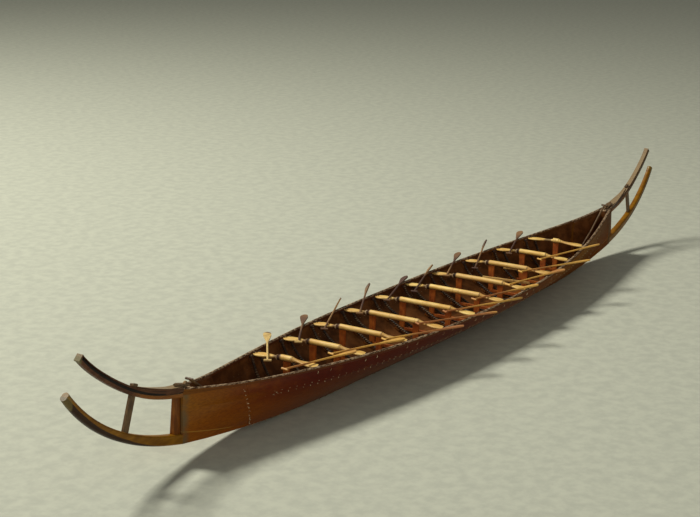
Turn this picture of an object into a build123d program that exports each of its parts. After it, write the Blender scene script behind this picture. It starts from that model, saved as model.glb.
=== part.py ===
"""Sewn plank boat with a pair of horns at each end, a display model at 1:24.

X runs along the boat, from the aft end (-X) to the fore end (+X), Y runs across it, to port,
and Z is up. The boat stands on the level middle of its bottom plank, at Z = 0.
"""

import os
from math import atan2, cos, degrees, hypot, radians, sin, tan

from build123d import *

os.makedirs("parts", exist_ok=True)

# Driving dimensions, in millimetres on the model.
pitch = 41.7  # from one thwart to the next
thwart_count = 10
hull_depth = 26.7  # gunwale over the bottom at midships
half_beam = 41.0
beam_zero = 7.42 * pitch  # where the two gunwale lines would meet
sheer_rise = 0.19  # rise of the gunwale for one pitch, times the square of the pitches
sheer_hook = 0.00125  # the same for the fourth power
flat_run = 3.2 * pitch  # half length of the level bottom
bottom_half = 10.4  # half width of the bottom plank at midships
bottom_zero = 8.0 * pitch
bottom_dish = 1.4  # rise of the bottom plank's edge
bottom_thick = 1.3
plank_thick = 0.85
seam = 0.08  # the pitch-filled joint between two pieces
rail_height = 2.3  # thickened upper edge of the sheer strake
rail_width = 2.1
rail_proud = 0.45
rail_lift = 1.2  # the rails rise over the sheer line where they close in on the post
seam_top = 5.93 * pitch  # raked seam between strakes and stem block, at the gunwale
seam_foot = 5.6 * pitch  # the same at the bottom plank
block_end = 6.96 * pitch  # upright seam between stem block and post
station_count = 13
lengths = (-3.6 * pitch, -1.2 * pitch, 1.2 * pitch, 3.6 * pitch)  # butts in each strake
kerf = 0.02


def half_breadth(x):
    """Half width of the hull at the gunwale."""
    return half_beam * (1 - (abs(x) / beam_zero) ** 2.37) ** 1.32


def gunwale(x):
    """Height of the sheer line."""
    u = x / pitch
    return hull_depth + sheer_rise * u**2 + sheer_hook * u**4


def rail_top(x):
    """Height of the top of the rail."""
    return gunwale(x) + 0.5 + rail_lift * max(0, abs(x) / pitch - 5.6) ** 2


def keel(x):
    """Height of the underside of the bottom plank at its middle."""
    u = max(0.0, (abs(x) - flat_run) / pitch)
    return 0.0108 * pitch * u**2.3


def bottom_edge(x):
    """Half width of the bottom plank."""
    return bottom_half * (1 - (abs(x) / bottom_zero) ** 2.2)


def bottom_rise(x):
    """How far the bottom plank's edge stands over its middle."""
    return bottom_dish * bottom_edge(x) / bottom_half


def bottom_depth(x):
    """Thickness of the bottom plank, which swells into the keel horn."""
    u = max(0.0, (abs(x) / pitch - 5.6) / 1.3)
    return bottom_thick + 0.10 * pitch * u**1.5


def chine(x):
    """Outer line of the seam between lower and upper strake."""
    low = keel(x)
    share = 0.88 - 0.12 * (abs(x) / block_end) ** 8
    return half_breadth(x) * share, low + (gunwale(x) - low) * 0.66


def inner_chine(x):
    """Inner corner of the planking at the chine."""
    side, side_height = chine(x)
    return side - 0.8 * plank_thick, side_height + 0.75 * plank_thick


def inner_wall(x, z):
    """Inner face of the upper strake at a height."""
    side, side_height = inner_chine(x)
    share = (z - side_height) / (gunwale(x) - side_height)
    return side + share * (half_breadth(x) - 1.3 * plank_thick - side)


def thwart_place(n):
    """X of the thwart, counted from the aft end; the seventh was set a little too far aft."""
    slip = -0.1 if n == 7 else 0.0
    return (n - (thwart_count + 1) / 2 + slip) * pitch


def stations(start, end, count):
    """Evenly spaced places along X."""
    return [start + (end - start) * i / (count - 1) for i in range(count)]


def across(x):
    """Plane of a cross-section: its first axis to port, its second up."""
    return Plane(origin=(x, 0, 0), x_dir=(0, 1, 0), z_dir=(1, 0, 0))


def belly(low, high, bulge):
    """Point halfway from low to high, pushed out of the straight line to port and down."""
    side = Vector(high[0] - low[0], high[1] - low[1])
    out = Vector(side.Y, -side.X).normalized()
    return Vector((low[0] + high[0]) / 2, (low[1] + high[1]) / 2) + out * bulge


# The strakes and the stem blocks meet at an inclined plane near each end.
seam_rake = atan2(seam_top - seam_foot, gunwale(seam_top) - keel(seam_foot) - 2.2)


def stem_seam(end, gap):
    """Plane of the raked seam at one end, moved along the boat by a gap, facing outboard."""
    return Plane(
        origin=(end * (seam_foot + gap), 0, keel(seam_foot) + 2.2),
        z_dir=(end * cos(seam_rake), 0, -sin(seam_rake)),
    )


def cut_to_lengths():
    """Cuts the strake being made at its butts, which are too close to see."""
    for x in lengths:
        with Locations((x, 0, hull_depth)):
            Box(kerf, 4 * half_beam, 4 * hull_depth, mode=Mode.SUBTRACT)


def mirrored(part, plane, name):
    """A mirrored copy of a finished piece, written out under its own name."""
    with BuildPart() as twin:
        mirror(part, about=plane, mode=Mode.ADD)
    twin.part.label = name
    export_step(twin.part, f"parts/{name}.step")


# Bottom plank: a long shallow trough, swelling at both ends to carry the keel horns. Its
# underside is planed level where it stands.
planed = 0.2
with BuildPart() as bottom_plank:
    for x in stations(-block_end, block_end, 2 * station_count - 1):
        w = bottom_edge(x)
        k = keel(x)
        edge_low = k + bottom_rise(x)
        top = k + bottom_depth(x)
        edge_top = edge_low + bottom_depth(x)
        with BuildSketch(across(x)):
            with BuildLine():
                Line((-0.45 * w, k - planed), (0.45 * w, k - planed))
                Line((0.45 * w, k - planed), (w, edge_low))
                Line((w, edge_low), (w, edge_top))
                ThreePointArc((w, edge_top), (0, top), (-w, edge_top))
                Line((-w, edge_top), (-w, edge_low))
                Line((-w, edge_low), (-0.45 * w, k - planed))
            make_face()
    loft()
    split(bisect_by=Plane.XY, keep=Keep.TOP)
bottom_plank.part.label = "bottom_plank"
export_step(bottom_plank.part, "parts/bottom_plank.step")

# Lower strake: from the bottom plank's edge out to the chine seam.
strake_reach = seam_top + 0.1 * pitch
with BuildPart() as lower_strake:
    for x in stations(-strake_reach, strake_reach, station_count):
        foot = (bottom_edge(x) + seam, keel(x) + bottom_rise(x) + 0.1)
        edge = chine(x)
        slope = atan2(edge[1] - foot[1], edge[0] - foot[0])
        bulge = 0.03 * hypot(edge[0] - foot[0], edge[1] - foot[1])
        inner_foot = (foot[0], foot[1] + plank_thick / cos(slope))
        inner_edge = inner_chine(x)
        with BuildSketch(across(x)):
            with BuildLine():
                ThreePointArc(foot, belly(foot, edge, bulge), edge)
                Line(edge, inner_edge)
                ThreePointArc(inner_edge, belly(inner_foot, inner_edge, bulge), inner_foot)
                Line(inner_foot, foot)
            make_face()
    loft()
    for end in (-1, 1):
        split(bisect_by=stem_seam(end, -seam), keep=Keep.BOTTOM)
    cut_to_lengths()
lower_strake.part.label = "lower_strake_port"
export_step(lower_strake.part, "parts/lower_strake_port.step")
mirrored(lower_strake.part, Plane.XZ, "lower_strake_starboard")

# Upper strake: stands steeper, from the chine seam up to the rail, which is its own upper
# edge left thick and rounded over.
with BuildPart() as upper_strake:
    for x in stations(-strake_reach, strake_reach, station_count):
        side, side_height = chine(x)
        foot = (side + 0.6 * seam, side_height + 0.8 * seam)
        b = half_breadth(x)
        top = rail_top(x)
        edge = (b, top - rail_height)
        bulge = 0.03 * hypot(edge[0] - foot[0], edge[1] - foot[1])
        rail_out = b + rail_proud
        rail_in = rail_out - rail_width
        shoulder = top - 0.8
        inner_foot = (foot[0] - 0.8 * plank_thick, foot[1] + 0.75 * plank_thick)
        inner_edge = (b - 1.3 * plank_thick, top - rail_height - 0.4)
        with BuildSketch(across(x)):
            with BuildLine():
                ThreePointArc(foot, belly(foot, edge, bulge), edge)
                Line(edge, (rail_out, edge[1] + 0.35))
                Line((rail_out, edge[1] + 0.35), (rail_out, shoulder))
                ThreePointArc((rail_out, shoulder), (rail_out - rail_width / 2, top), (rail_in, shoulder))
                Line((rail_in, shoulder), (rail_in, edge[1]))
                Line((rail_in, edge[1]), inner_edge)
                ThreePointArc(inner_edge, belly(inner_foot, inner_edge, bulge), inner_foot)
                Line(inner_foot, foot)
            make_face()
    loft()
    for end in (-1, 1):
        split(bisect_by=stem_seam(end, -seam), keep=Keep.BOTTOM)
    cut_to_lengths()
upper_strake.part.label = "upper_strake_port"
export_step(upper_strake.part, "parts/upper_strake_port.step")
mirrored(upper_strake.part, Plane.XZ, "upper_strake_starboard")

# Stem block: one hollowed piece that closes the hull between the strakes and the post. The
# rails run on along its upper edges.
block_wall = 1.4
with BuildPart() as stem_block:
    for x in stations(5.45 * pitch, block_end - seam, 5):
        w = bottom_edge(x) - 0.2
        floor = keel(x) + bottom_depth(x) - 0.3
        rise = bottom_rise(x)
        side, side_height = chine(x)
        b = half_breadth(x)
        top = rail_top(x)
        under = top - rail_height
        rail_out = b + rail_proud
        rail_in = max(rail_out - rail_width, 0.3)
        foot = (bottom_edge(x) + seam, keel(x) + rise + 0.1)
        swell = 0.03 * (1 - max(0, x / pitch - 5.6) / 1.4)
        low_middle = belly(foot, (side, side_height), swell * hypot(side - foot[0], side_height - foot[1]))
        high_middle = belly((side, side_height), (b, under), swell * hypot(b - side, under - side_height))
        with BuildSketch(across(x)):
            with BuildLine():
                ThreePointArc((-w, floor + rise), (0, floor), (w, floor + rise))
                ThreePointArc((w, floor + rise), low_middle, (side, side_height))
                ThreePointArc((side, side_height), high_middle, (b, under))
                Line((b, under), (rail_out, under + 0.35))
                Line((rail_out, under + 0.35), (rail_out, top - 0.8))
                ThreePointArc((rail_out, top - 0.8), ((rail_out + rail_in) / 2, top), (rail_in, top - 0.8))
                Line((rail_in, top - 0.8), (-rail_in, top - 0.8))
                ThreePointArc((-rail_in, top - 0.8), (-(rail_out + rail_in) / 2, top), (-rail_out, top - 0.8))
                Line((-rail_out, top - 0.8), (-rail_out, under + 0.35))
                Line((-rail_out, under + 0.35), (-b, under))
                ThreePointArc((-b, under), (-high_middle.X, high_middle.Y), (-side, side_height))
                ThreePointArc((-side, side_height), (-low_middle.X, low_middle.Y), (-w, floor + rise))
            make_face()
    loft()
    for x, fill in ((5.3 * pitch, 0.12), (6.0 * pitch, 0.12), (6.4 * pitch, 0.25), (6.7 * pitch, 0.6)):
        floor = keel(x) + bottom_depth(x)
        top = rail_top(x)
        side, side_height = inner_chine(x)
        low = floor + fill * (top - floor)
        knuckle = max(side_height, low + 0.8)
        with BuildSketch(across(x)):
            with BuildLine():
                Polyline(
                    (-bottom_edge(x) * 0.7, low),
                    (bottom_edge(x) * 0.7, low),
                    (side - block_wall, knuckle),
                    (half_breadth(x) - block_wall, top + 1),
                    (block_wall - half_breadth(x), top + 1),
                    (block_wall - side, knuckle),
                    close=True,
                )
            make_face()
    loft(mode=Mode.SUBTRACT)
    split(bisect_by=stem_seam(1, seam), keep=Keep.TOP)
    add(bottom_plank.part, mode=Mode.SUBTRACT)
stem_block.part.label = "stem_block_fore"
export_step(stem_block.part, "parts/stem_block_fore.step")
mirrored(stem_block.part, Plane.YZ, "stem_block_aft")

# Post: an upright board that closes the outer face of the stem block.
post_thick = 2.6
post_width = 0.10 * pitch
post_rake = 0.05 * pitch
horn_under = 0.86 * pitch  # underside of the gunwale horn at the post
post_foot = keel(block_end) + bottom_depth(block_end) - 0.02 * pitch
with BuildPart() as stem_post:
    with BuildSketch(Plane.XZ):
        with BuildLine():
            Polyline(
                (block_end, post_foot),
                (block_end + post_width + post_rake, post_foot + 0.02 * pitch),
                (block_end + post_width, horn_under + 0.05 * pitch),
                (block_end, horn_under + 0.03 * pitch),
                close=True,
            )
        make_face()
    extrude(amount=post_thick / 2, both=True)
stem_post.part.label = "stem_post_fore"

# Strut: a batten that ties the two horns together, wedged over the upper one by its head.
strut_foot = (8.03 * pitch, 0.70 * pitch)
strut_head = (7.85 * pitch, 1.255 * pitch)
strut_width = 4.4
strut_thick = 1.4
lean = atan2(strut_head[1] - strut_foot[1], strut_head[0] - strut_foot[0])
strut_length = hypot(strut_head[0] - strut_foot[0], strut_head[1] - strut_foot[1])
strut_plane = Plane(
    origin=(strut_foot[0], 0, strut_foot[1]),
    z_dir=(cos(lean), 0, sin(lean)),
    x_dir=(sin(lean), 0, -cos(lean)),
)
with BuildPart() as horn_strut:
    with BuildSketch(strut_plane):
        Rectangle(strut_width, strut_thick)
    extrude(amount=strut_length)
    with BuildSketch(strut_plane.offset(strut_length)):
        Rectangle(strut_width - 0.4, strut_thick + 0.8)
    extrude(amount=1.2)
    cap = horn_strut.faces().sort_by(Axis((0, 0, 0), strut_plane.z_dir))[-1]
    chamfer(cap.edges(), 0.3)
horn_strut.part.label = "horn_strut_fore"

# Keel horn: carries the bottom plank on upwards in a long curve, oval in section, to a
# blunt end.
horn_foot_height = keel(block_end) + bottom_depth(block_end) / 2
horn_foot = (2 * bottom_edge(block_end), bottom_depth(block_end))
horn_tip = (3.9, 5.1)
with BuildPart() as keel_horn:
    with BuildLine() as keel_path:
        Spline(
            (block_end, 0, horn_foot_height),
            (7.53 * pitch, 0, 0.44 * pitch),
            (8.36 * pitch, 0, 0.805 * pitch),
            (9.1 * pitch, 0, 1.462 * pitch),
            tangents=((1, 0, 0.16), (0.62, 0, 0.78)),
        )
    for along in (0.0, 0.25, 0.5, 0.75, 1.0):
        here = keel_path.wire() @ along
        toward = Vector(1, 0, 0) if along == 0 else keel_path.wire() % along
        width = horn_foot[0] + (horn_tip[0] - horn_foot[0]) * along
        depth = horn_foot[1] + (horn_tip[1] - horn_foot[1]) * along
        with BuildSketch(Plane(origin=here, x_dir=(0, 1, 0), z_dir=toward)):
            RectangleRounded(width, depth, 1.2 + 0.65 * along)
    loft()
    add(stem_post.part, mode=Mode.SUBTRACT)
    add(horn_strut.part, mode=Mode.SUBTRACT)
keel_horn.part.label = "keel_horn_fore"
export_step(keel_horn.part, "parts/keel_horn_fore.step")
mirrored(keel_horn.part, Plane.YZ, "keel_horn_aft")

# Gunwale horn: gathers both rails and runs out in a long upward curve. A groove is cut along
# each side, from a fine line at the hull to half the height at the tip, which is left solid.
# On its root lies a tongue in which the two rails run together.
horn_root_depth = 0.155 * pitch
horn_end_depth = 0.095 * pitch
horn_end_half = 0.044 * pitch
with BuildPart() as gunwale_horn:
    with BuildLine() as gunwale_path:
        Spline(
            (block_end + seam, 0, horn_under + horn_root_depth / 2),
            (7.53 * pitch, 0, 1.056 * pitch),
            (8.27 * pitch, 0, 1.412 * pitch),
            (8.83 * pitch, 0, 1.857 * pitch),
            tangents=((1, 0, 0.17), (0.7, 0, 0.72)),
        )
    for along in (0.0, 0.2, 0.4, 0.6, 0.8, 1.0):
        here = gunwale_path.wire() @ along
        toward = Vector(1, 0, 0) if along == 0 else gunwale_path.wire() % along
        fade = (1 - along) ** 2
        w = half_breadth(block_end) * fade + horn_end_half * (1 - fade)
        d = horn_root_depth * fade**2 + (0.112 * pitch * (1 - along) + horn_end_depth * along) * (1 - fade**2)
        groove_low = -d / 2 + d * (0.42 - 0.02 * fade)
        groove_high = groove_low + d * (0.44 - 0.34 * fade)
        inner = w * (0.4 + 0.45 * fade)
        with BuildSketch(Plane(origin=here, x_dir=(0, 1, 0), z_dir=toward)):
            with BuildLine():
                Polyline(
                    (-0.7 * w, -d / 2),
                    (0.7 * w, -d / 2),
                    (w, -d / 2 + 0.12 * d),
                    (w, groove_low),
                    (inner, groove_low + 0.1),
                    (inner, groove_high),
                    (w, groove_high),
                    (0.9 * w, d / 2),
                    (-0.9 * w, d / 2),
                    (-w, groove_high),
                    (-inner, groove_high),
                    (-inner, groove_low + 0.1),
                    (-w, groove_low),
                    (-w, -d / 2 + 0.12 * d),
                    close=True,
                )
            make_face()
    loft()
    with BuildSketch(Plane(origin=gunwale_path.wire() @ 1, x_dir=(0, 1, 0), z_dir=gunwale_path.wire() % 1)):
        Rectangle(2 * horn_end_half, horn_end_depth)
    extrude(amount=1.1)
    for x, half_width, low, top in (
        (block_end + seam, half_breadth(block_end) + rail_proud, 0.95 * pitch, rail_top(block_end)),
        (7.35 * pitch, 2.4, 1.0 * pitch, 1.088 * pitch),
        (7.77 * pitch, 0.7, 1.12 * pitch, 1.222 * pitch),
    ):
        with BuildSketch(across(x)):
            with Locations((0, (low + top) / 2)):
                Rectangle(2 * half_width, top - low)
    loft()
    add(stem_post.part, mode=Mode.SUBTRACT)
    add(horn_strut.part, mode=Mode.SUBTRACT)
gunwale_horn.part.label = "gunwale_horn_fore"
export_step(gunwale_horn.part, "parts/gunwale_horn_fore.step")
mirrored(gunwale_horn.part, Plane.YZ, "gunwale_horn_aft")
export_step(stem_post.part, "parts/stem_post_fore.step")
mirrored(stem_post.part, Plane.YZ, "stem_post_aft")
export_step(horn_strut.part, "parts/horn_strut_fore.step")
mirrored(horn_strut.part, Plane.YZ, "horn_strut_aft")

# Stem head: a small pointed board that covers the meeting of the rails.
head_start = 6.80 * pitch
head_length = 0.29 * pitch
head_slope = atan2(0.26, 1)
with BuildPart() as stem_head:
    with BuildSketch(
        Plane(
            origin=(head_start, 0, rail_top(head_start) + 0.15),
            x_dir=(cos(head_slope), 0, sin(head_slope)),
            z_dir=(-sin(head_slope), 0, cos(head_slope)),
        )
    ):
        with BuildLine():
            Polyline((0, -2.2), (head_length - 3.6, -2.0), (head_length, 0), (head_length - 3.6, 2.0))
            Polyline((head_length - 3.6, 2.0), (0, 2.2), (0, -2.2))
        make_face()
    extrude(amount=1.1)
    chamfer(stem_head.faces().sort_by(Axis.Z)[-1].edges(), 0.3)
stem_head.part.label = "stem_head_fore"
export_step(stem_head.part, "parts/stem_head_fore.step")
mirrored(stem_head.part, Plane.YZ, "stem_head_aft")

# Cross members, one set at each thwart.
thwart_log = 3.6  # round middle of a thwart
seat_length = 0.48 * pitch  # thinned seat between the log and the planking
seat_width = 6.0
seat_thick = 1.3
seat_drop = 0.8  # from the log's axis to the seat's upper face at its outer end
rib_radius = 0.8
rib_half_gap = 5.5  # a frame has two ribs, one each side of the thwart
rib_stand_off = 1.0  # the ribs stand off the planks on cleats
stanchion_width = 4.4
stanchion_thick = 1.4
beam_height = 0.15 * pitch
beam_size = 1.8


def middle_half(n):
    """Half length of a thwart's log; the last one is only a short block."""
    if n == thwart_count:
        return 0.055 * pitch
    return half_breadth(thwart_place(n)) - 1.3 * plank_thick - seat_length


def rib_points(x):
    """Points of the inner line of a rib, from starboard to port."""
    off = rib_stand_off + rib_radius
    floor = keel(x) + bottom_depth(x)
    side, side_height = inner_chine(x)
    top = gunwale(x) - 0.8
    wall = (inner_wall(x, top) - off, top)
    corner = (side - off, side_height + 0.6 * off)
    foot = ((side + bottom_edge(x)) / 2, (side_height + floor + bottom_rise(x)) / 2 + off)
    half = (wall, corner, foot)
    starboard = [(x, -y, z) for y, z in half]
    port = [(x, y, z) for y, z in reversed(half)]
    return starboard + [(x, 0, floor + off)] + port


for n in range(1, thwart_count + 1):
    x = thwart_place(n)
    axis = gunwale(x)
    half = middle_half(n)
    end = half_breadth(x) + rail_proud - rail_width - 0.2
    scarfed_end = ((half - 0.2, 3.3, 3.3, 1.6, 0.0), (half + 0.10 * pitch, 3.0, 1.7, 0.8, -0.5))
    necked_end = ((half - 0.6, 2.3, 2.2, 0.9, -0.15), (half + 0.10 * pitch, 2.3, 1.6, 0.7, -0.5))
    seat = (
        (half + 0.55 * (end - half), seat_width, seat_thick, 0.6, -0.9),
        (end, 2.8, seat_thick - 0.1, 0.55, -seat_drop - seat_thick / 2),
    )
    with BuildPart() as thwart:
        with BuildSketch(Plane.XZ.offset(-half)):
            with Locations((x, axis)):
                Circle(thwart_log / 2)
        extrude(amount=2 * half)
        for side, root in ((-1, scarfed_end), (1, necked_end)):
            for y, width, thick, corner, drop in root + seat:
                with BuildSketch(Plane.XZ.offset(-side * y)):
                    with Locations((x, axis + drop)):
                        RectangleRounded(width, thick, corner)
            loft()
    thwart.part.label = f"thwart_{n}"
    export_step(thwart.part, f"parts/thwart_{n}.step")

    with BuildPart() as rib:
        for offset in (-rib_half_gap, rib_half_gap):
            with BuildLine() as rib_path:
                Spline(*rib_points(x + offset))
            with BuildSketch(Plane(origin=rib_path.wire() @ 0, z_dir=rib_path.wire() % 0)):
                Circle(rib_radius)
            sweep(path=rib_path.wire())
    rib.part.label = f"rib_{n}"
    export_step(rib.part, f"parts/rib_{n}.step")

    # Two stanchion boards stand on the cross beam under the ends of the log.
    beam_top = keel(x) + bottom_depth(x) + beam_height
    head = axis - thwart_log / 2 - 0.1
    spread = half - stanchion_width / 2
    places = (0,) if spread < stanchion_width * 0.6 else (-spread, spread)
    with BuildPart() as stanchions:
        for y in places:
            with BuildSketch(Plane.YZ.offset(x - stanchion_thick / 2)):
                with BuildLine():
                    Polyline(
                        (y - stanchion_width * 0.4, beam_top),
                        (y + stanchion_width * 0.4, beam_top),
                        (y + stanchion_width * 0.5, head),
                        (y - stanchion_width * 0.5, head),
                        close=True,
                    )
                make_face()
            extrude(amount=stanchion_thick)
    stanchions.part.label = f"stanchions_{n}"
    export_step(stanchions.part, f"parts/stanchions_{n}.step")

with BuildPart() as cross_beams:
    for n in range(1, thwart_count + 1):
        x = thwart_place(n)
        floor = keel(x) + bottom_depth(x)
        side, side_height = inner_chine(x)
        rise = (beam_height - 2) / (side_height - floor - bottom_rise(x))
        reach = bottom_edge(x) + (side - bottom_edge(x)) * rise * 0.8
        with Locations((x, 0, floor + beam_height - beam_size / 2)):
            Box(beam_size, 2 * reach, beam_size)
cross_beams.part.label = "cross_beams"
export_step(cross_beams.part, "parts/cross_beams.step")

# Paddles: one each side of every thwart but the last. Each lies on its seat and over the rail,
# the blade outside the boat and towards the fore end.
paddle_length = 1.46 * pitch
shaft_radius = 0.6
blade_length = 0.54 * pitch
blade_width = 4.6
blade_thick = 0.9
grip_length = 4.6
seat_reach = {  # from the end of the log out to where the shaft crosses the seat, in pitches
    "port": (0.23, 0.19, 0.22, 0.17, 0.19, 0.20, 0.17, 0.22, 0.17),
    "starboard": (0.32, 0.23, 0.28, 0.15, 0.16, 0.17, 0.16, 0.16, 0.17),
}
grip_back = {  # from the thwart aft to the grip, in pitches
    "port": (0.38, 0.22, 0.30, 0.19, 0.25, 0.45, 0.18, 0.46, 0.31),
    "starboard": (0.54, 0.44, 0.26, 0.18, 0.28, 0.34, 0.10, 0.32, 0.36),
}
heading = {  # degrees outward from straight ahead
    "port": (35, 30, 23, 26, 18, 18, 20, 20, 17),
    "starboard": (10, 16, 26, 30, 31, 20, 16, 32, 23),
}
blade_roll = {  # degrees that the blade is turned about the shaft, 0 lying flat
    "port": (0, 8, 62, 55, 20, 48, 15, 60, 10),
    "starboard": (8, 5, 10, 12, 30, 8, 5, 10, 15),
}
laid_inside = ("starboard", 2)  # the first two of this side lie within the rail, on the next seat
for name, out in (("port", 1), ("starboard", -1)):
    with BuildPart() as paddles:
        for n in range(1, thwart_count):
            x = thwart_place(n)
            slope = tan(radians(heading[name][n - 1]))
            y = middle_half(n) + seat_reach[name][n - 1] * pitch
            seat = Vector(x, out * y, gunwale(x) + 0.3 + shaft_radius)
            roll = radians(blade_roll[name][n - 1])
            clear = blade_width / 2 * sin(roll) + blade_thick / 2 + 0.3
            if name == laid_inside[0] and n <= laid_inside[1]:
                next_x = thwart_place(n + 1)
                rest = Vector(next_x, out * (y + slope * (next_x - x)), gunwale(next_x) + clear)
            else:
                rail_x = x
                for _ in range(6):
                    rail_x = x + (half_breadth(rail_x) - y) / slope
                rest = Vector(rail_x, out * half_breadth(rail_x), rail_top(rail_x) + clear)
            toward = (rest - seat).normalized()
            grip = seat - toward * (grip_back[name][n - 1] * pitch)
            level = Vector(-toward.Y, toward.X, 0).normalized()
            with BuildSketch(Plane(origin=grip, x_dir=level, z_dir=toward)):
                Circle(shaft_radius)
            extrude(amount=paddle_length - 0.6 * blade_length)
            with BuildSketch(Plane(origin=grip + level * (grip_length / 2), x_dir=toward, z_dir=-level)):
                Circle(shaft_radius * 1.15)
            extrude(amount=grip_length)
            up = toward.cross(level) * cos(roll) + level * sin(roll)
            with BuildSketch(Plane(origin=grip - up * (blade_thick / 2), x_dir=toward, z_dir=up)):
                start = paddle_length - blade_length
                widest = start + 0.62 * blade_length
                with BuildLine():
                    Spline(
                        (start, shaft_radius * 0.8),
                        (widest, blade_width / 2),
                        (paddle_length, 0),
                        tangents=((1, 0.1), (0.3, -1)),
                    )
                    Spline(
                        (paddle_length, 0),
                        (widest, -blade_width / 2),
                        (start, -shaft_radius * 0.8),
                        tangents=((-0.3, -1), (-1, 0.1)),
                    )
                    Line((start, -shaft_radius * 0.8), (start, shaft_radius * 0.8))
                make_face()
            extrude(amount=blade_thick)
    paddles.part.label = f"paddles_{name}"
    export_step(paddles.part, f"parts/paddles_{name}.step")

# Steering oars: one stowed in the hollow of each stem, blade down, its crosshead over the rails.
oar_head = Vector(6.74 * pitch, 0, 1.045 * pitch)
oar_foot = Vector(5.62 * pitch, 0, 0.25 * pitch)
oar_radius = 0.8
oar_blade = 5.2
with BuildPart() as steering_oar:
    down = (oar_foot - oar_head).normalized()
    reach = (oar_foot - oar_head).length
    with BuildSketch(Plane(origin=oar_head, x_dir=(0, 1, 0), z_dir=down)):
        Circle(oar_radius)
    extrude(amount=reach * 0.7)
    with BuildSketch(Plane.XZ):
        with Locations((oar_head.X, oar_head.Z)):
            Circle(oar_radius * 0.9)
    extrude(amount=2.4, both=True)
    with BuildSketch(Plane(origin=oar_head + Vector(0, 0.5, 0), x_dir=down, z_dir=(0, -1, 0))):
        with BuildLine():
            start = reach * 0.55
            Spline((start, 0.7), (reach * 0.8, oar_blade / 2), (reach, 0), tangents=((1, 0.2), (0.3, -1)))
            Spline((reach, 0), (reach * 0.8, -oar_blade / 2), (start, -0.7), tangents=((-0.3, -1), (-1, 0.2)))
            Line((start, -0.7), (start, 0.7))
        make_face()
    extrude(amount=1.0)
steering_oar.part.label = "steering_oar_fore"
export_step(steering_oar.part, "parts/steering_oar_fore.step")
mirrored(steering_oar.part, Plane.YZ, "steering_oar_aft")
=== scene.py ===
"""Looks of a sewn plank boat with a pair of horns at each end, a display model at 1:24.

X runs along the boat from the aft end to the fore end, Y to port, Z up. Lengths are in metres.
"""

import math
import random

import bpy
from mathutils import Matrix, Vector
from mathutils.bvhtree import BVHTree


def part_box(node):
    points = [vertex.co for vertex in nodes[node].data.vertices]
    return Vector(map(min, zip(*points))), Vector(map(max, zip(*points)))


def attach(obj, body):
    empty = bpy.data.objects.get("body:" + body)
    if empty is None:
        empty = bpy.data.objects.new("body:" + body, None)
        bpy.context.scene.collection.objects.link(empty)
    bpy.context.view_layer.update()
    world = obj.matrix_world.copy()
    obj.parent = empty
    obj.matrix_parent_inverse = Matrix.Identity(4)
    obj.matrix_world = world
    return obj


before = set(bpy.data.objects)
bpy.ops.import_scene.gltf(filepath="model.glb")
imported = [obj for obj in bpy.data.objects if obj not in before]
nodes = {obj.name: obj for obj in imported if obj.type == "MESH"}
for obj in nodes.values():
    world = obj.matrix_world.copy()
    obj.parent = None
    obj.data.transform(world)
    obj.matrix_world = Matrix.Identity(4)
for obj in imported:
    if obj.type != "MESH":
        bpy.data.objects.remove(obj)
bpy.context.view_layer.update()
mm = 0.001
bpy.ops.object.select_all(action="DESELECT")

# Camera: a long lens at eye level with the boat, off the aft end on the starboard side, so
# that the near pair of horns stands large and the far pair small.
camera_place = Vector((-0.9248, -0.4956, 0.3142))
camera_heading = math.radians(58.39)  # from +Y towards +X
camera_dip = math.radians(14.03)
camera_roll = math.radians(1.41)
level = Vector((math.cos(camera_heading), -math.sin(camera_heading), 0))
forward = Vector(
    (
        math.sin(camera_heading) * math.cos(camera_dip),
        math.cos(camera_heading) * math.cos(camera_dip),
        -math.sin(camera_dip),
    )
)
upward = level.cross(forward)
right = level * math.cos(camera_roll) + upward * math.sin(camera_roll)
top = upward * math.cos(camera_roll) - level * math.sin(camera_roll)
bpy.ops.object.camera_add()
camera = bpy.context.object
camera_turn = Matrix((right, top, -forward)).transposed().to_4x4()
camera.matrix_world = Matrix.Translation(camera_place) @ camera_turn
camera.data.lens = 81.4
camera.data.sensor_width = 36
camera.data.clip_start = 0.01
bpy.context.scene.camera = camera


class Wire:
    """An output of a node. Arithmetic on wires adds Math nodes to their material."""

    def __init__(self, tree, socket=None):
        self.tree = tree
        self.socket = socket

    def node(self, kind, settings, inputs, output=0):
        """Adds a node of any kind; inputs are named or counted, and take wires or values."""
        made = self.tree.nodes.new(kind)
        for name, value in settings.items():
            if name == "stops":
                while len(made.color_ramp.elements) < len(value):
                    made.color_ramp.elements.new(0.5)
                for element, (place, shade) in zip(made.color_ramp.elements, value):
                    element.position = place
                    element.color = shade
            else:
                setattr(made, name, value)
        for name, value in inputs.items():
            if isinstance(value, Wire):
                self.tree.links.new(value.socket, made.inputs[name])
            else:
                made.inputs[name].default_value = value
        return Wire(self.tree, made.outputs[output])

    def math(self, operation, *others):
        values = {0: self}
        values.update({place + 1: other for place, other in enumerate(others)})
        return self.node("ShaderNodeMath", {"operation": operation}, values)

    def __add__(self, other):
        return self.math("ADD", other)

    __radd__ = __add__

    def __mul__(self, other):
        return self.math("MULTIPLY", other)

    __rmul__ = __mul__

    def __sub__(self, other):
        return self.math("SUBTRACT", other)

    def __rsub__(self, other):
        return self * -1 + other

    def __truediv__(self, other):
        return self.math("DIVIDE", other)

    def __abs__(self):
        return self.math("ABSOLUTE")

    def within(self, low, high):
        """0 below low, 1 above high, smooth between; high may be the lower of the two."""
        ends = {"Value": self, "From Min": low, "From Max": high}
        return self.node("ShaderNodeMapRange", {"interpolation_type": "SMOOTHSTEP"}, ends)

    def blend(self, first, second):
        """The first colour where this wire is 0, the second where it is 1."""
        return self.node("ShaderNodeMix", {"data_type": "RGBA"}, {0: self, 6: first, 7: second}, 2)


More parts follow.
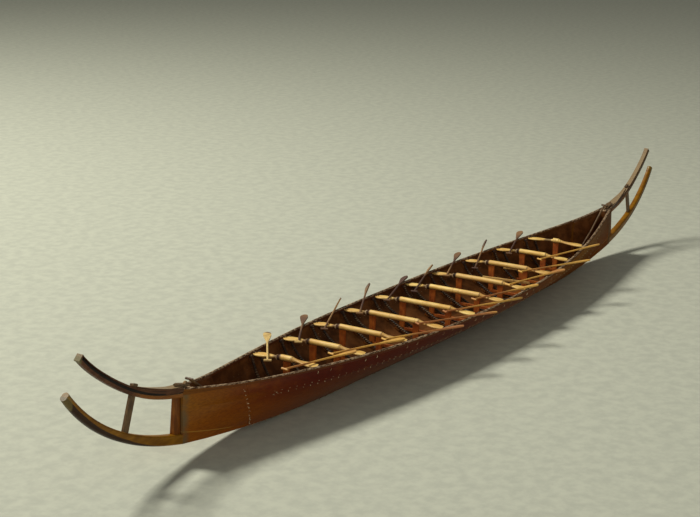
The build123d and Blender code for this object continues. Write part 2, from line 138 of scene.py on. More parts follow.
def shade(red, green, blue):
    """A colour as a paint card gives it, 0 to 255, made linear."""
    return tuple(
        (c / 255 / 12.92 if c <= 10 else ((c / 255 + 0.055) / 1.055) ** 2.4) for c in (red, green, blue)
    ) + (1.0,)


def new_finish(name, **constants):
    """An empty material: its name, its shader with the constants set, and a wire to start from."""
    finish = bpy.data.materials.new(name)
    finish.use_nodes = True
    shader = finish.node_tree.nodes["Principled BSDF"]
    for socket, value in constants.items():
        shader.inputs[socket.replace("_", " ")].default_value = value
    return finish, shader, Wire(finish.node_tree)


def place_on(wire):
    """Wires of X, Y and Z on the piece, and of its outward direction along each."""
    coordinates = wire.node("ShaderNodeTexCoord", {}, {}, "Object")
    facing = wire.node("ShaderNodeTexCoord", {}, {}, "Normal")
    split = [wire.node("ShaderNodeSeparateXYZ", {}, {0: coordinates}, axis) for axis in range(3)]
    split += [wire.node("ShaderNodeSeparateXYZ", {}, {0: facing}, axis) for axis in range(3)]
    return coordinates, split


def grain(wire, coordinates, stretch, detail=4.0, roughness=0.6):
    """Noise whose cells have the given length, width and height, in millimetres."""
    scaled = wire.node(
        "ShaderNodeVectorMath",
        {"operation": "MULTIPLY"},
        {0: coordinates, 1: tuple(1 / (s * mm) for s in stretch)},
    )
    return wire.node(
        "ShaderNodeTexNoise", {}, {"Vector": scaled, "Scale": 1.0, "Detail": detail, "Roughness": roughness}
    )


def connect(wire, shader, links):
    for socket, value in links.items():
        wire.tree.links.new(value.socket, shader.inputs[socket])


def relief(wire, shader, height, depth):
    """Fine unevenness of the surface, its depth in millimetres."""
    bump = wire.node("ShaderNodeBump", {}, {"Height": height, "Distance": depth * mm, "Strength": 1.0})
    wire.tree.links.new(bump.socket, shader.inputs["Normal"])


def paint(finish, *names):
    for name in names:
        for place in range(len(nodes[name].material_slots)):
            nodes[name].material_slots[place].material = finish


# Floor and light: a pale matt studio floor, one large soft lamp high behind the port side,
# which leaves the starboard side in soft shade, and a weak one before it.
finish, shader, wire = new_finish("studio_floor", Roughness=0.9)
coordinates, (x, y, z, nx, ny, nz) = place_on(wire)
speckle = grain(wire, coordinates, (9, 9, 9), 3)
floor_colour = speckle.within(0.3, 0.7).blend(shade(176, 180, 166), shade(188, 192, 176))
connect(wire, shader, {"Base Color": floor_colour})
bpy.ops.mesh.primitive_plane_add(size=30)
floor = bpy.context.object
floor.name = "floor"
floor.data.materials.append(finish)

world = bpy.data.worlds.new("studio")
bpy.context.scene.world = world
world.use_nodes = True
sky = world.node_tree.nodes["Background"]
sky.inputs["Strength"].default_value = 1.0
wire = Wire(world.node_tree)
seen = wire.node("ShaderNodeLightPath", {}, {}, "Is Camera Ray")
wire.tree.links.new(seen.blend((0.17, 0.165, 0.15, 1), shade(224, 228, 228)).socket, sky.inputs["Color"])


def lamp(name, place, aim, size, power, colour):
    bpy.ops.object.light_add(type="AREA", location=place)
    light = bpy.context.object
    light.name = name
    light.data.size = size
    light.data.energy = power
    light.data.color = colour
    light.rotation_euler = (Vector(aim) - Vector(place)).to_track_quat("-Z", "Y").to_euler()


lamp("high_lamp", (-0.35, 1.3, 1.6), (0, 0, 0), 0.5, 46, (1.0, 0.96, 0.86))
lamp("low_lamp", (-1.5, -1.1, 0.5), (0, 0, 0), 1.0, 9, (1.0, 0.95, 0.88))
bpy.context.scene.view_settings.view_transform = "Standard"

# Hull: limewood planks and two hollowed stem blocks, oiled and varnished to a gloss on the
# outside, darker and duller inside. The sewn seams are stopped with dark resin.
pitch = 41.7 * mm  # from one thwart to the next
hull_depth = 26.7 * mm
half_beam = 41.0 * mm
block_end = 6.96 * pitch  # seam between stem block and post
seam_foot = 5.6 * pitch  # raked seam between strakes and stem block, at the bottom plank
seam_top = 5.93 * pitch  # the same at the gunwale
flat_run = 3.2 * pitch  # half length of the level bottom
keel_rise = 0.0108 * pitch  # rise of the bottom for one pitch past the level part
keel_power = 2.3
beam_zero = 7.42 * pitch  # where the two gunwale lines would meet
beam_power = 2.37
beam_round = 1.32
sheer_rise = 0.19 * mm
sheer_hook = 0.00125 * mm


def hull_lines(x):
    """A wire or number of the sheer line's height, at a place along the boat."""
    u = abs(x) / pitch
    square = u * u
    return square * sheer_rise + square * square * sheer_hook + hull_depth


def hull_finish(name):
    finish, shader, wire = new_finish(name, Coat_Roughness=0.2, Specular_IOR_Level=0.06)
    coordinates, (x, y, z, nx, ny, nz) = place_on(wire)
    fine = grain(wire, coordinates, (14, 0.5, 0.5), 5, 0.65)
    broad = grain(wire, coordinates, (60, 12, 9), 3)
    blotch = grain(wire, coordinates, (11, 11, 7), 4)
    along = x / (9.2 * pitch)
    dulled = x.within(0.5 * pitch, 4 * pitch)
    # Along the boat the planks run from amber at the aft stem block, through deep red-brown amidships, to
    # amber-brown towards the fore end. This is partly the varnish's own tone and partly painted light: the
    # amber towards the aft end stands in for light thrown up onto it from the floor.
    varnish_and_painted_light = wire.node(
        "ShaderNodeValToRGB",
        {
            "stops": (
                (0.0, shade(150, 104, 26)),
                (0.12, shade(142, 88, 10)),
                (0.17, shade(124, 66, 6)),
                (0.2, shade(100, 38, 8)),
                (0.24, shade(84, 22, 10)),
                (0.42, shade(90, 30, 8)),
                (0.56, shade(108, 50, 8)),
                (0.66, shade(134, 78, 12)),
                (0.76, shade(142, 92, 22)),
                (0.88, shade(96, 56, 24)),
                (1.0, shade(128, 92, 36)),
            )
        },
        {"Fac": along * 0.5 + 0.5 + (broad - 0.5) * 0.08},
    )
    sheer = hull_lines(x)
    past_flat = ((abs(x) - flat_run) / pitch).math("MAXIMUM", 0)
    low = past_flat.math("POWER", keel_power) * keel_rise
    share = (z - low) / (sheer - low)
    # Towards the keel the planks turn lighter and more amber.
    lower = share.within(0.78, 0.2) * 0.7
    lighter_low = lower.blend(varnish_and_painted_light, shade(138, 74, 14))
    streaked = (fine.within(0.35, 0.75) * 0.5).blend(lighter_low, shade(46, 14, 5))
    aged = (blotch.within(0.5, 0.78) * 0.22).blend(streaked, shade(150, 84, 18))
    swell = ((abs(x) - seam_foot) / (1.3 * pitch)).math("MAXIMUM", 0).math("POWER", 1.5) * (0.1 * pitch)
    joint = abs(z - low - swell - 2.6 * mm).within(0.45 * mm, 0.1 * mm)
    joint = joint * (abs(x) - 5.95 * pitch).within(0, 3 * mm)
    aged = (joint * 0.6).blend(aged, shade(176, 132, 54))
    rail = (z - sheer).within(-1.6 * mm, -1.3 * mm)
    inward = (y * ny).within(0.0, -1 * mm) * (1 - rail)
    bare = blotch.within(0.3, 0.7).blend(shade(74, 42, 18), shade(118, 74, 38))
    inside = inward
    inner = inside.blend(aged, bare)
    worn = grain(wire, coordinates, (3.4, 1.1, 1.1), 5, 0.75)
    # The rail's upward faces are painted pale in patches: partly wear, partly a painted highlight where the
    # lamp above falls on them.
    rail_wear_and_highlight = worn.within(0.42, 0.6).blend(shade(70, 46, 30), shade(176, 152, 122))
    top_face = rail * nz.within(0.1, 0.5)
    railed = top_face.blend((rail * 0.6).blend(inner, shade(92, 58, 34)), rail_wear_and_highlight)
    resin_place = (abs(x) - block_end).within(-6 * mm, -1.5 * mm) * (abs(x) - block_end).within(0.4 * mm, 0)
    stain = resin_place * (0.35 + 0.65 * blotch.within(0.35, 0.6)) * 0.8 * (1 - rail)
    colour = stain.blend(railed, shade(92, 82, 58))
    connect(
        wire,
        shader,
        {
            "Base Color": colour,
            "Roughness": 0.38 + 0.2 * inside + 0.2 * rail + 0.25 * dulled + 0.2 * (blotch - 0.5),
            "Coat Weight": 0.16 * (1 - inside) * (1 - rail) * (1 - dulled),
        },
    )
    relief(wire, shader, fine * 0.6 + broad * 0.8 + worn * rail, 0.12)
    return finish


varnished = hull_finish("varnished_limewood")
for side in ("port", "starboard"):
    paint(varnished, f"lower_strake_{side}", f"upper_strake_{side}")
for end in ("fore", "aft"):
    paint(varnished, f"stem_block_{end}")
paint(varnished, "bottom_plank")

# Posts and keel horns: the same varnished wood, the horns stained dark beneath, a fine line
# at the post that widens to half the side at the tip.
finish, shader, wire = new_finish("varnished_horn", Coat_Roughness=0.2, Specular_IOR_Level=0.12)
coordinates, (x, y, z, nx, ny, nz) = place_on(wire)
fine = grain(wire, coordinates, (12, 0.6, 0.6), 5, 0.65)
blotch = grain(wire, coordinates, (16, 6, 4), 4)
base = blotch.within(0.3, 0.7).blend(shade(112, 72, 4), shade(146, 100, 10))
streaked = (fine.within(0.35, 0.75) * 0.5).blend(base, shade(84, 44, 8))
out = (abs(x) - block_end) / pitch
middle = (out * (out * (out * 0.071 - 0.006) + 0.233) + 0.296) * pitch
edge = out.within(0.3, 1.3) * (2.3 * mm) - 2.6 * mm + (blotch - 0.5) * (1.2 * mm)
stained = (z - middle - edge).within(0.35 * mm, -0.25 * mm).math("MAXIMUM", nz.within(-0.5, -0.8))
stained = stained * out.within(0.25, 0.6)
darkened = (stained * 0.93).blend(streaked, shade(34, 18, 12))
end_grain = (out - 2.06).within(-0.02, 0.01)
tipped = (end_grain * 0.5).blend(darkened, shade(120, 106, 58))
connect(
    wire,
    shader,
    {"Base Color": tipped, "Roughness": 0.3 + 0.2 * fine, "Coat Weight": 0.08 + 0.1 * blotch},
)
relief(wire, shader, fine + blotch, 0.1)
paint(finish, "keel_horn_fore", "keel_horn_aft")

finish, shader, wire = new_finish("post_wood", Coat_Roughness=0.25, Specular_IOR_Level=0.12)
coordinates, (x, y, z, nx, ny, nz) = place_on(wire)
fine = grain(wire, coordinates, (0.6, 0.6, 9), 5, 0.65)
blotch = grain(wire, coordinates, (3, 3, 8), 4)
base = blotch.within(0.3, 0.7).blend(shade(104, 54, 8), shade(132, 76, 14))
streaked = (fine.within(0.35, 0.75) * 0.5).blend(base, shade(44, 24, 10))
seam_dark = (abs(x) - block_end).within(0.9 * mm, 0.2 * mm)
closed = (seam_dark * 0.85).blend(streaked, shade(30, 18, 9))
connect(wire, shader, {"Base Color": closed, "Roughness": 0.4 + 0.2 * fine, "Coat Weight": 0.3 * blotch})
relief(wire, shader, fine, 0.1)
paint(finish, "stem_post_fore", "stem_post_aft")

# Gunwale horns: cut from one stick of dark-stained wood, with a groove along each side. The upper
# faces are painted pale, a painted highlight where the lamp above falls on them.
finish, shader, wire = new_finish("stained_horn", Coat_Roughness=0.25, Specular_IOR_Level=0.15)
coordinates, (x, y, z, nx, ny, nz) = place_on(wire)
fine = grain(wire, coordinates, (12, 0.5, 0.5), 5, 0.65)
blotch = grain(wire, coordinates, (14, 5, 4), 4)
out = (abs(x) - block_end) / pitch
middle = (out * (out * (out * 0.0175 + 0.176) + 0.102) + 0.9375) * pitch
base = blotch.within(0.3, 0.7).blend(shade(70, 40, 22), shade(98, 60, 34))
low_band = (z - middle).within(0.1 * mm, -0.5 * mm)
warm = (low_band * out.within(1.0, 0.75) * 0.8).blend(base, shade(146, 88, 26))
streaked = (fine.within(0.35, 0.75) * 0.5).blend(warm, shade(40, 20, 12))
fade = (1 - out / 1.87).within(0, 1)
half_width = (fade * fade * 1.25 + 1.83) * mm
# Painted shade: the groove along each side is painted near black, as the shade inside it.
groove = (abs(y) - half_width * 0.9).within(0.08 * mm, -0.08 * mm) * (z - middle).within(2.4 * mm, 2.0 * mm)
groove = groove * (z - middle).within(-2.0 * mm, -1.6 * mm) * abs(nz).within(0.9, 0.7)
cut = (groove * 0.92).blend(streaked, shade(14, 8, 6))
# Painted highlight: the faces turned up are painted pale, as where the lamp above lights them.
upper = nz.within(0.4, 0.8) * (0.4 + 0.6 * fine.within(0.3, 0.6))
top_highlighted = (upper * 0.85).blend(cut, shade(158, 138, 104))
tip = (out - 1.88).within(-0.015, 0.015)
tipped = (tip * 0.8).blend(top_highlighted, shade(104, 98, 62))
connect(wire, shader, {"Base Color": tipped, "Roughness": 0.4 + 0.2 * fine, "Coat Weight": 0.25 * blotch})
relief(wire, shader, fine + blotch, 0.1)
paint(finish, "gunwale_horn_fore", "gunwale_horn_aft")

# Struts, stem heads and steering oars: small pieces of the same dark-stained wood.
finish, shader, wire = new_finish("dark_stained_wood", Coat_Roughness=0.3)
coordinates, (x, y, z, nx, ny, nz) = place_on(wire)
fine = grain(wire, coordinates, (0.7, 0.7, 8), 5, 0.65)
blotch = grain(wire, coordinates, (4, 4, 6), 4)
base = blotch.within(0.3, 0.7).blend(shade(78, 54, 26), shade(112, 84, 46))
streaked = (fine.within(0.35, 0.75) * 0.6).blend(base, shade(44, 28, 16))
connect(wire, shader, {"Base Color": streaked, "Roughness": 0.5 + 0.2 * fine, "Coat Weight": 0.15 * blotch})
relief(wire, shader, fine + blotch, 0.1)
for end in ("fore", "aft"):
    paint(finish, f"horn_strut_{end}", f"stem_head_{end}", f"steering_oar_{end}")

# Thwarts: peeled limewood sticks, left bare, thinned to a seat at each end.
finish, shader, wire = new_finish("pale_limewood", Coat_Roughness=0.3)
coordinates, (x, y, z, nx, ny, nz) = place_on(wire)
fine = grain(wire, coordinates, (0.5, 10, 0.5), 5, 0.65)
blotch = grain(wire, coordinates, (5, 9, 3), 4)
tint = grain(wire, coordinates, (30, 80, 80), 1)
base = blotch.within(0.3, 0.7).blend(shade(218, 172, 80), shade(246, 214, 128))
toned = (tint.within(0.35, 0.65) * 0.4).blend(base, shade(198, 150, 82))
streaked = (fine.within(0.45, 0.75) * 0.55).blend(toned, shade(140, 92, 44))
ring_marks = grain(wire, coordinates, (60, 1.1, 60), 2).within(0.66, 0.72)
marked = (ring_marks * 0.5).blend(streaked, shade(120, 70, 30))
seat_length = 0.48 * pitch
wall = 1.1 * mm  # planking at the gunwale
beam = (abs(x) / beam_zero).math("POWER", beam_power)
log_end = (1 - beam).math("POWER", beam_round) * half_beam - seat_length - wall
neck = (y - log_end).within(-0.5 * mm, 0.3 * mm) * (y - log_end).within(6.5 * mm, 4 * mm)
scarf = (-1 * y - log_end).within(-0.2 * mm, 1.2 * mm) * (-1 * y - log_end).within(11 * mm, 5 * mm)
darker = (neck * 0.75).blend((scarf * 0.4).blend(marked, shade(150, 96, 44)), shade(74, 44, 30))
rim = abs(abs(y) - log_end + 0.3 * mm).within(0.5 * mm, 0.15 * mm)
rimmed = (rim * 0.6).blend(darker, shade(88, 52, 30))
# Painted shade: the faces turned down are painted darker brown, as the shade under each log.
underside_shade = nz.within(-0.1, -0.8)
shaded_below = (underside_shade * 0.7).blend(rimmed, shade(104, 64, 30))
connect(wire, shader, {"Base Color": shaded_below, "Roughness": 0.45 + 0.25 * fine, "Coat Weight": 0.15 * blotch})
relief(wire, shader, fine + blotch, 0.12)
for n in range(1, 11):
    paint(finish, f"thwart_{n}")

# Ribs: pairs of hazel rods, blackened with oil and age and wound with pale cord where they
# are laced to the planks.
finish, shader, wire = new_finish("hazel", Specular_IOR_Level=0.4)
coordinates, (x, y, z, nx, ny, nz) = place_on(wire)
fine = grain(wire, coordinates, (0.6, 3, 3), 5, 0.65)
blotch = grain(wire, coordinates, (4, 6, 6), 4)
base = blotch.within(0.3, 0.7).blend(shade(34, 22, 14), shade(66, 44, 26))
bare = (fine.within(0.5, 0.8) * 0.6).blend(base, shade(96, 68, 40))
winding = ((z * 1.05 + abs(y) * 0.75 + nx * (0.35 * mm)) * (2 * math.pi / (1.9 * mm))).math("SINE")
cord = winding.within(0.45, 0.75) * blotch.within(0.45, 0.6)
wound = (cord * 0.8).blend(bare, shade(134, 112, 78))
connect(wire, shader, {"Base Color": wound, "Roughness": 0.55 + 0.2 * fine})
relief(wire, shader, fine + blotch + winding, 0.12)
for n in range(1, 11):
    paint(finish, f"rib_{n}")

# Stanchions and cross beams: thin ash boards and bars, oiled to a warm brown.
finish, shader, wire = new_finish("ash_board", Coat_Roughness=0.3)
coordinates, (x, y, z, nx, ny, nz) = place_on(wire)
fine = grain(wire, coordinates, (0.6, 0.6, 8), 5, 0.65)
blotch = grain(wire, coordinates, (5, 5, 5), 4)
base = blotch.within(0.3, 0.7).blend(shade(146, 66, 10), shade(184, 98, 24))
streaked = (fine.within(0.4, 0.75) * 0.5).blend(base, shade(62, 30, 14))
connect(wire, shader, {"Base Color": streaked, "Roughness": 0.45 + 0.2 * fine, "Coat Weight": 0.2 * blotch})
relief(wire, shader, fine + blotch, 0.1)
for n in range(1, 11):
    paint(finish, f"stanchions_{n}")
paint(finish, "cross_beams")

# Paddles: carved from one billet each, in varied tones: brown on the port side with one of them pale,
# golden on the starboard side.
for side in ("port", "starboard"):
    finish, shader, wire = new_finish(f"paddle_wood_{side}", Coat_Roughness=0.3)
    coordinates, (x, y, z, nx, ny, nz) = place_on(wire)
    fine = grain(wire, coordinates, (8, 1.2, 0.6), 5, 0.65)
    blotch = grain(wire, coordinates, (9, 7, 5), 3)
    if side == "port":
        tone = grain(wire, coordinates, (34, 200, 200), 0)
        base = tone.within(0.42, 0.62).blend(shade(78, 50, 38), shade(150, 112, 66))
        pale_paddle = x.within(-3.62 * pitch, -3.7 * pitch)
        base = pale_paddle.blend(base, shade(222, 190, 118))
    else:
        tone = grain(wire, coordinates, (46, 200, 200), 0)
        base = tone.within(0.42, 0.58).blend(shade(172, 110, 56), shade(222, 172, 78))
    streaked = (fine.within(0.4, 0.75) * 0.5).blend(base, shade(98, 62, 30))
    connect(
        wire,
        shader,
        {"Base Color": streaked, "Roughness": 0.45 + 0.2 * fine, "Coat Weight": 0.2 * blotch},
    )
    relief(wire, shader, fine + blotch, 0.08)
    paint(finish, f"paddles_{side}")

# Sewing: one thread runs over and under each seam, so that outside it shows as a row of
# short stitches. Linen, waxed, pulled down hard on the planks.
bottom_half = 10.4 * mm
row_end = 5.72 * pitch
chance = random.Random(11)


def half_breadth(x):
    return half_beam * (1 - (abs(x) / beam_zero) ** beam_power) ** beam_round


def keel_line(x):
    return keel_rise * max(0.0, (abs(x) - flat_run) / pitch) ** keel_power


def bottom_edge(x):
    """Half width of the bottom plank and the height of its edge."""
    half = bottom_half * (1 - (abs(x) / (8 * pitch)) ** 2.2)
    return half, keel_line(x) + 1.4 * mm * half / bottom_half


def chine(x):
    """Half width and height of the seam between the two strakes."""
    low = keel_line(x)
    share = 0.88 - 0.12 * (abs(x) / block_end) ** 8
    return half_breadth(x) * share, low + (hull_lines(x) - low) * 0.66


def finished(obj, name, finish):
    """Names a piece, gives it its finish and fixes it to the boat."""
    obj.name = name
    obj.data.name = name
    obj.data.materials.clear()
    obj.data.materials.append(finish)
    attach(obj, "root")
    return obj


def laid(pattern, places, name, finish):
    """One piece made of copies of a pattern, one at each place, each copy turned by its matrix."""
    copies = []
    for place in places:
        copy = bpy.data.objects.new(name, pattern.data.copy())
        bpy.context.scene.collection.objects.link(copy)
        copy.data.transform(place)
        copies.append(copy)
    bpy.ops.object.select_all(action="DESELECT")
    for copy in copies:
        copy.select_set(True)
    bpy.context.view_layer.objects.active = copies[0]
    bpy.ops.object.join()
    bpy.data.objects.remove(pattern)
    return finished(copies[0], name, finish)


def turned(place, along, outward):
    """Matrix that takes a pattern's X along, its Y outward and its Z square to both."""
    along = along.normalized()
    across = along.cross(outward).normalized()
    outward = across.cross(along)
    return Matrix.Translation(place) @ Matrix((along, outward, across)).transposed().to_4x4()


def stitch(length, height, thread):
    """A thread bent over a seam in the YZ plane: half a ring, pulled flat."""
    bpy.ops.object.select_all(action="DESELECT")
    bpy.ops.mesh.primitive_circle_add(
        vertices=6,
        radius=thread,
        fill_type="NGON",
        location=(0, 0, length / 2),
        rotation=(math.pi / 2, 0, 0),
    )
    obj = bpy.context.object
    bpy.ops.object.transform_apply(location=True, rotation=True, scale=True)
    bpy.ops.object.mode_set(mode="EDIT")
    bpy.ops.mesh.select_all(action="SELECT")
    bpy.ops.mesh.spin(steps=6, angle=-math.pi, center=(0, 0, 0), axis=(1, 0, 0))
    bpy.ops.mesh.select_all(action="SELECT")
    bpy.ops.transform.resize(value=(1, height / (length / 2), 1), center_override=(0, 0, 0))
    bpy.ops.mesh.normals_make_consistent(inside=False)
    bpy.ops.object.mode_set(mode="OBJECT")
    bpy.ops.object.shade_smooth()
    return obj


linen, shader, wire = new_finish("waxed_linen", Specular_IOR_Level=0.2)
coordinates, (x, y, z, nx, ny, nz) = place_on(wire)
soiled = grain(wire, coordinates, (7, 3, 3), 4)
twist = grain(wire, coordinates, (0.25, 0.25, 0.25), 2)
base = soiled.within(0.35, 0.65).blend(shade(132, 100, 66), shade(214, 194, 156))
twisted = (twist.within(0.4, 0.7) * 0.4).blend(base, shade(96, 70, 44))
connect(wire, shader, {"Base Color": twisted, "Roughness": 0.7 + 0.2 * twist})
relief(wire, shader, twist, 0.08)



def skin_of(*names):
    """The surface of some nodes, to find where a straight line meets it."""
    points, faces = [], []
    for name in names:
        mesh = nodes[name].data
        faces += [[len(points) + corner for corner in f.vertices] for f in mesh.polygons]
        points += [v.co.copy() for v in mesh.vertices]
    return BVHTree.FromPolygons(points, faces)


sides = ((1, "port"), (-1, "starboard"))
ends = ((1, "fore"), (-1, "aft"))
planking = skin_of(
    "bottom_plank",
    *(f"{height}_strake_{name}" for height in ("upper", "lower") for side, name in sides),
    *(f"stem_block_{name}" for end, name in ends),
)


def met(start, direction):
    """Where a line first meets the planking, beside a seam if it runs into one, and the
    surface's direction there, towards the start."""
    along = Vector(direction).normalized()
    nearest = None
    for shift in (0, 0.35, -0.35, 0.7):
        lifted = Vector(start) + Vector((0, 0, shift * mm))
        place, out, face, distance = planking.ray_cast(lifted, along, 45 * mm)
        if place is not None and (nearest is None or distance < nearest[2] - 0.3 * mm):
            nearest = place - Vector((0, 0, shift * mm)), out if out.dot(along) < 0 else -out, distance
    return nearest[:2]


stitch_spacing = 6.0 * mm
count = int(2 * row_end / stitch_spacing)
spots = [-row_end + (i + 0.5) * stitch_spacing for i in range(count)]
for side, name in sides:
    chine_places = []
    foot_places = []
    inner_places = []
    for x in spots:
        ahead = Vector((1, 0, 0))
        lean = Matrix.Rotation(side * math.radians(chance.uniform(-14, 6)), 4, "Y")
        height = chine(x)[1]
        place, out = met((x, side * 0.045, height), (0, -side, 0))
        chine_places.append(turned(place, ahead, out) @ lean)
        place, out = met((x, 0, height + 0.8 * mm), (0, side, 0))
        inner_places.append(turned(place, ahead, out) @ lean)
        edge, height = bottom_edge(x)
        place, out = met((x, side * (edge + 20 * mm), height - 20 * mm), (0, -side, 1))
        foot_places.append(turned(place, ahead, out) @ lean)
    for row, places, length, height, thread in (
        ("chine", chine_places, 2.5 * mm, 0.5 * mm, 0.2 * mm),
        ("inner", inner_places, 2.3 * mm, 0.45 * mm, 0.18 * mm),
        ("bottom", foot_places, 2.0 * mm, 0.42 * mm, 0.17 * mm),
    ):
        laid(stitch(length, height, thread), places, f"{row}_stitches_{name}", linen)

# The raked seam between the strakes and each stem block is sewn with longer slanting
# stitches, each with a short one back over the seam.
for end, end_name in ends:
    places = []
    short_places = []
    for side, name in sides:
        for i in range(9):
            share = 0.06 + 0.88 * i / 8
            x = end * (seam_foot + share * (seam_top - seam_foot))
            low = keel_line(x) + 2.4 * mm
            height = low + share * (hull_lines(x) - low - 2.4 * mm)
            place, out = met((x, side * 0.045, height), (0, -side, 0))
            lean = Matrix.Rotation(math.radians(chance.uniform(38, 58)), 4, "Y")
            places.append(turned(place, Vector((0, 0, 1)), out) @ lean)
            lean = Matrix.Rotation(math.radians(chance.uniform(-70, -40)), 4, "Y")
            back = chance.uniform(-0.9, -0.5) * mm
            shift = Matrix.Translation((back, 0, chance.uniform(0.3, 0.9) * mm * side))
            short_places.append(turned(place, Vector((0, 0, 1)), out) @ shift @ lean)
    long_stitch = stitch(3.2 * mm, 0.55 * mm, 0.22 * mm)
    laid(long_stitch, places, f"stem_stitches_{end_name}", linen)
    short_stitch = stitch(1.8 * mm, 0.5 * mm, 0.2 * mm)
    laid(short_stitch, short_places, f"stem_back_stitches_{end_name}", linen)

# Where each row of the chine begins its thread is brought out in a loose four-sided loop and
# tied off.
places = []
for end, end_name in ends:
    for side, name in sides:
        x = end * (row_end - 17 * mm)
        for dx, dz, turn in ((-0.9, 0.55, -40), (0.9, 0.55, 40), (-0.9, -0.55, 40), (0.9, -0.55, -40)):
            start = (x + dx * mm, side * 0.045, chine(x)[1] + dz * mm)
            place, out = met(start, (0, -side, 0))
            lean = Matrix.Rotation(math.radians((90 - turn) * side), 4, "Y")
            places.append(turned(place, Vector((1, 0, 0)), out) @ lean)
laid(stitch(2.1 * mm, 0.45 * mm, 0.19 * mm), places, "tied_off_loops", linen)

# Cleats: low blocks left standing on the inside of every plank when it is hewn, under each
# rib rod, to which the rods are lashed. The same wood as the planks.
thwart_count = 10
rib_offset = 5.5 * mm


def thwart_place(n):
    return (n - (thwart_count + 1) / 2 - (0.1 if n == 7 else 0)) * pitch


bpy.ops.object.select_all(action="DESELECT")
bpy.ops.mesh.primitive_cube_add(size=1, scale=(2.4 * mm, 1.1 * mm, 4.0 * mm))
cleat = bpy.context.object
bpy.ops.object.transform_apply(location=True, rotation=True, scale=True)
bpy.ops.object.mode_set(mode="EDIT")
bpy.ops.mesh.select_all(action="SELECT")
bpy.ops.mesh.bevel(offset=0.3 * mm, segments=2)
bpy.ops.object.mode_set(mode="OBJECT")
bpy.ops.object.shade_smooth_by_angle(angle=math.radians(40))
places = []
for n in range(1, thwart_count + 1):
    for offset in (-rib_offset, rib_offset):
        x = thwart_place(n) + offset
        low = keel_line(x)
        seam_height = chine(x)[1]
        for side, name in sides:
            for base, edge, share in (
                (seam_height, hull_lines(x), 0.5),
                (low, seam_height, 0.66),
                (low, seam_height, 0.36),
            ):
                place, out = met((x, 0, base + share * (edge - base) + 0.5 * mm), (0, side, 0))
                places.append(turned(place + out * 0.35 * mm, Vector((1, 0, 0)), out))
laid(cleat, places, "cleats", varnished)

# Lashings: twisted cord, three turns at a time. Dark cord holds the head of every rib to the
# plank and binds the neck of each thwart, with a turn of pale cord beside it.
tarred, shader, wire = new_finish("tarred_cord", Specular_IOR_Level=0.3)
coordinates, (x, y, z, nx, ny, nz) = place_on(wire)
twist = grain(wire, coordinates, (0.3, 0.3, 0.3), 2)
soiled = grain(wire, coordinates, (5, 3, 3), 3)
base = soiled.within(0.35, 0.65).blend(shade(38, 24, 16), shade(84, 52, 34))
twisted = (twist.within(0.4, 0.7) * 0.5).blend(base, shade(24, 15, 10))
connect(wire, shader, {"Base Color": twisted, "Roughness": 0.6 + 0.3 * twist})
relief(wire, shader, twist, 0.1)


def lashing(radius, thread, turns):
    """Turns of cord side by side round the Z axis."""
    bpy.ops.object.select_all(action="DESELECT")
    rings = []
    for turn in range(turns):
        bpy.ops.mesh.primitive_torus_add(
            major_segments=14,
            minor_segments=6,
            major_radius=radius * (1 + 0.04 * (turn % 2)),
            minor_radius=thread,
            location=(0, 0, (turn - (turns - 1) / 2) * 1.7 * thread),
            rotation=(0.12 * (turn % 2), 0.09 * (turn % 3), 0),
        )
        rings.append(bpy.context.object)
    for ring in rings:
        ring.select_set(True)
    bpy.ops.object.join()
    bpy.ops.object.transform_apply(location=True, rotation=True, scale=True)
    bpy.ops.object.shade_smooth()
    return bpy.context.object


def aimed(place, axis):
    """Matrix that takes a pattern's Z along an axis."""
    return Matrix.Translation(place) @ Vector(axis).to_track_quat("Z", "X").to_matrix().to_4x4()


head_places = []
neck_places = []
pale_places = []
knot_places = []
loop_places = []
for n in range(1, thwart_count + 1):
    x = thwart_place(n)
    log_end = 0.055 * pitch if n == thwart_count else half_breadth(x) - wall - seat_length
    for side, name in sides:
        for offset in (-rib_offset, rib_offset):
            here = x + offset
            rib_head = Vector((here, side * (half_breadth(here) - 2.9 * mm), hull_lines(here) - 1.9 * mm))
            head_places.append(aimed(rib_head, (0, side * 0.25, 1)))
            place, out = met((here + 1.9 * mm, 0, hull_lines(here) - 3.0 * mm), (0, side, 0))
            lean = Matrix.Rotation(math.radians(chance.uniform(-25, 25)), 4, "Y")
            loop_places.append(turned(place, Vector((1, 0, 0)), out) @ lean)
        tip = Vector((x, side * (half_breadth(x) - 2.9 * mm), hull_lines(x) - 1.4 * mm))
        knot_places.append(aimed(tip, (0, 1, 0.1)))
    if n < thwart_count:
        neck = Vector((x, log_end + 0.9 * mm, hull_lines(x) - 0.3 * mm))
        neck_places.append(aimed(neck, (0, 1, -0.1)))
        pale_places.append(aimed(neck + Vector((0, 1.5 * mm, -0.1 * mm)), (0.15, 1, -0.1)))
laid(lashing(1.1 * mm, 0.3 * mm, 3), head_places, "rib_head_lashings", tarred)
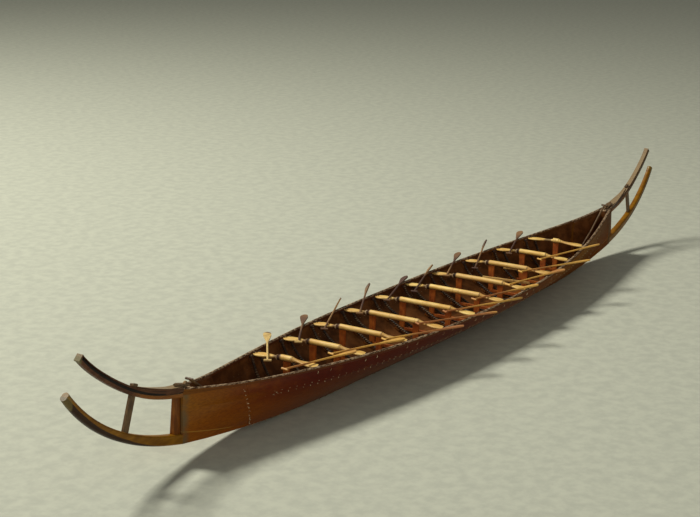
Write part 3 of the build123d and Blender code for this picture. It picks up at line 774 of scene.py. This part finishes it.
laid(lashing(1.45 * mm, 0.33 * mm, 3), neck_places, "thwart_neck_lashings", tarred)
laid(lashing(1.3 * mm, 0.26 * mm, 2), pale_places, "thwart_neck_cords", linen)
laid(lashing(1.5 * mm, 0.25 * mm, 2), knot_places, "seat_end_ties", tarred)
laid(stitch(2.4 * mm, 1.2 * mm, 0.17 * mm), loop_places, "rib_head_threads", linen)

# The stem heads are tied down through a hole at their inboard end.
places = []
for end, end_name in ends:
    low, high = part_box(f"stem_head_{end_name}")
    inner = (low[0] if end > 0 else high[0]) + end * 1.6 * mm
    places.append(aimed(Vector((inner, 0, low[2] + 1.2 * mm)), (0.2 * end, 1, 0)))
laid(lashing(1.5 * mm, 0.3 * mm, 3), places, "stem_head_ties", linen)

# Two loose battens of new limewood lie across the boat among the fore thwarts.
batten, shader, wire = new_finish("new_batten", Specular_IOR_Level=0.3)
coordinates, (x, y, z, nx, ny, nz) = place_on(wire)
fine = grain(wire, coordinates, (0.5, 8, 0.5), 5)
streaked = fine.within(0.35, 0.7).blend(shade(214, 176, 104), shade(150, 104, 54))
connect(wire, shader, {"Base Color": streaked, "Roughness": 0.5 + 0.2 * fine})
relief(wire, shader, fine, 0.1)
bpy.ops.object.select_all(action="DESELECT")
bpy.ops.mesh.primitive_cube_add(size=1, scale=(1.9 * mm, 1.2 * mm, 1.0))
stick = bpy.context.object
bpy.ops.object.transform_apply(location=True, rotation=True, scale=True)
bpy.ops.object.mode_set(mode="EDIT")
bpy.ops.mesh.select_all(action="SELECT")
bpy.ops.transform.resize(value=(1, 1, 36 * mm))
bpy.ops.mesh.bevel(offset=0.3 * mm, segments=2)
bpy.ops.object.mode_set(mode="OBJECT")
bpy.ops.object.shade_smooth_by_angle(angle=math.radians(40))
places = [
    aimed(Vector((79.9 * mm, -10.5 * mm, 23.6 * mm)), (4.3, -34, 0.1)),
    aimed(Vector((121.5 * mm, -7.0 * mm, 22.0 * mm)), (5.8, -31, 0.3)),
]
laid(stick, places, "loose_battens", batten)
